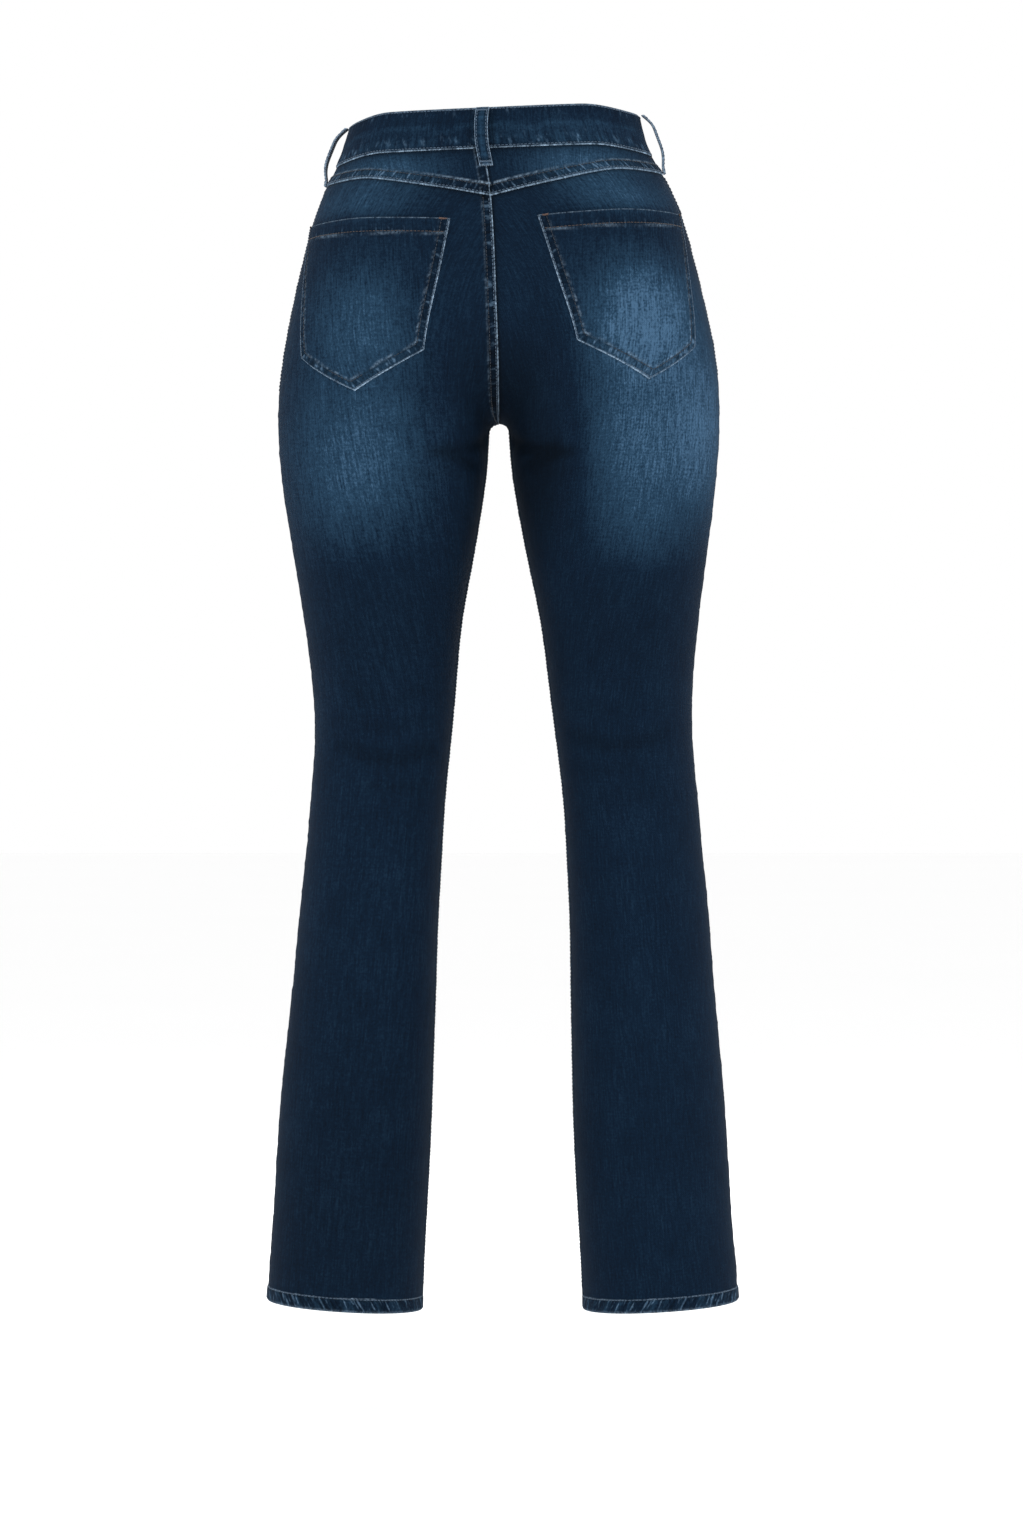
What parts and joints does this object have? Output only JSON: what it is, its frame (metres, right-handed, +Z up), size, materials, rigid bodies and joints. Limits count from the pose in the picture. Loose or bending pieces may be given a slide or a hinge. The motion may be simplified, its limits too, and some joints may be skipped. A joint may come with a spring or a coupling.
{
  "type": "high-rise slim bootcut jeans, indigo denim",
  "caption": "High-rise slim bootcut jeans in faded dark indigo denim, hollow, in their worn shape, with pointed patch pockets, yoke, waistband and belt loops.",
  "frame": {"origin": "the middle of the waist opening, level with the waistband's top edge", "axes": "+Z up the garment, -Y to its front, +X to the wearer's left"},
  "size_m": [0.4264, 0.2362, 1.0795],
  "materials": {
    "indigo_denim": "dark indigo twill",
    "worn_denim": "faded indigo twill",
    "antique_copper": "antique copper"
  },
  "bodies": {
    "root": {"back_leg_left": "indigo_denim", "front_leg_left": "indigo_denim", "yoke_left": "indigo_denim", "hem_left": "indigo_denim", "pocket_facing_left": "indigo_denim", "back_pocket_left": "worn_denim", "belt_loop_side_left": "worn_denim", "belt_loop_front_left": "worn_denim", "back_leg_right": "indigo_denim", "front_leg_right": "indigo_denim", "yoke_right": "indigo_denim", "hem_right": "indigo_denim", "pocket_facing_right": "indigo_denim", "back_pocket_right": "worn_denim", "belt_loop_side_right": "worn_denim", "belt_loop_front_right": "worn_denim", "belt_loop_back": "worn_denim", "waistband": "indigo_denim", "fly_flap": "indigo_denim", "waist_button": "antique_copper"}
  },
  "joints": []
}
